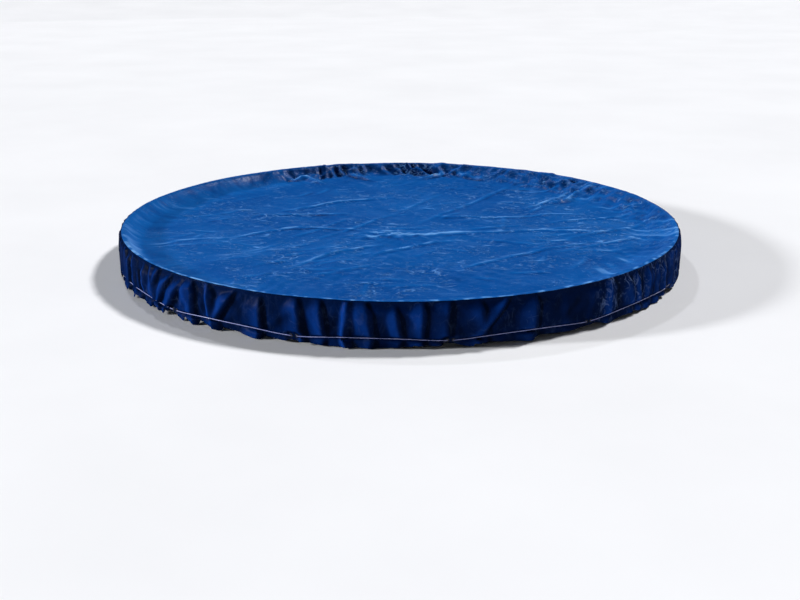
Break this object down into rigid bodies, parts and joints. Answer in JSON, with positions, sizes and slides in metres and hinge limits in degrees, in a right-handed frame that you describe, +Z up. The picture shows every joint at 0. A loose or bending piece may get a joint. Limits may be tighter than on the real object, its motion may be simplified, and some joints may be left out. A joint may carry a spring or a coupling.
{
  "type": "pool cover",
  "caption": "Round tarpaulin cover that sags onto the water, with a skirt, eyelets and a tie cable drawn tight by a ratchet winch.",
  "frame": {"origin": "centre of the pool's rim, in the plane where the sheet rests on the rail", "axes": "+Z up out of the water, +Y towards the winch at the back, -Y the front, +X right seen from the front"},
  "size_m": [3.5538, 3.5951, 0.231],
  "materials": {
    "tarpaulin": "coated woven polyethylene, satin, creased",
    "hem_rope": "twisted polypropylene rope",
    "eyelet_metal": "pressed, bright",
    "cable_coating": "smooth PVC coating over wire rope",
    "zinc_steel": "zinc plated",
    "ferrule_alloy": "pressed",
    "dark_steel": "black phosphated",
    "nylon": "moulded nylon",
    "black_plastic": "moulded PVC, black"
  },
  "bodies": {
    "root": {"sheet_centre": "tarpaulin", "sheet_slope": "tarpaulin", "sheet_rim": "tarpaulin", "sheet_skirt": "tarpaulin", "hem_band": "tarpaulin", "hem_rope": "hem_rope", "eyelets": "eyelet_metal", "eyelet_washers": "eyelet_metal", "tie_cable": "cable_coating", "loop_thimble": "zinc_steel", "loop_ferrule": "ferrule_alloy", "cable_end_cap": "black_plastic", "winch_frame": "zinc_steel", "anchor_bolt": "zinc_steel", "anchor_sleeve": "zinc_steel", "anchor_nut": "zinc_steel", "shaft_bushes": "nylon", "pawl_pin": "zinc_steel"},
    "drum": {"drum": "dark_steel", "shaft_clip": "dark_steel", "ratchet_wheel": "zinc_steel", "drive_head": "dark_steel", "head_pin": "dark_steel"},
    "pawl": {"pawl": "dark_steel", "pawl_spring": "zinc_steel"},
    "tee_bar": {"tee_bar": "zinc_steel", "bar_caps": "black_plastic"}
  },
  "joints": [
    {"name": "drum_turn", "type": "hinge", "parent": "root", "child": "drum", "pos_m": [0.026, 1.7875, -0.1954], "axis": [0, -1, 0], "continuous": true},
    {"name": "pawl_lift", "type": "hinge", "parent": "root", "child": "pawl", "pos_m": [-0.0067, 1.7989, -0.19081], "axis": [0, 1, 0], "range_deg": [0, 40], "stiffness_Nm_per_rad": 0.01, "springref_deg": -34.38},
    {"name": "bar_slide", "type": "slide", "parent": "drum", "child": "tee_bar", "axis": [1, 0, 0], "range_m": [-0.025, 0.025]}
  ]
}
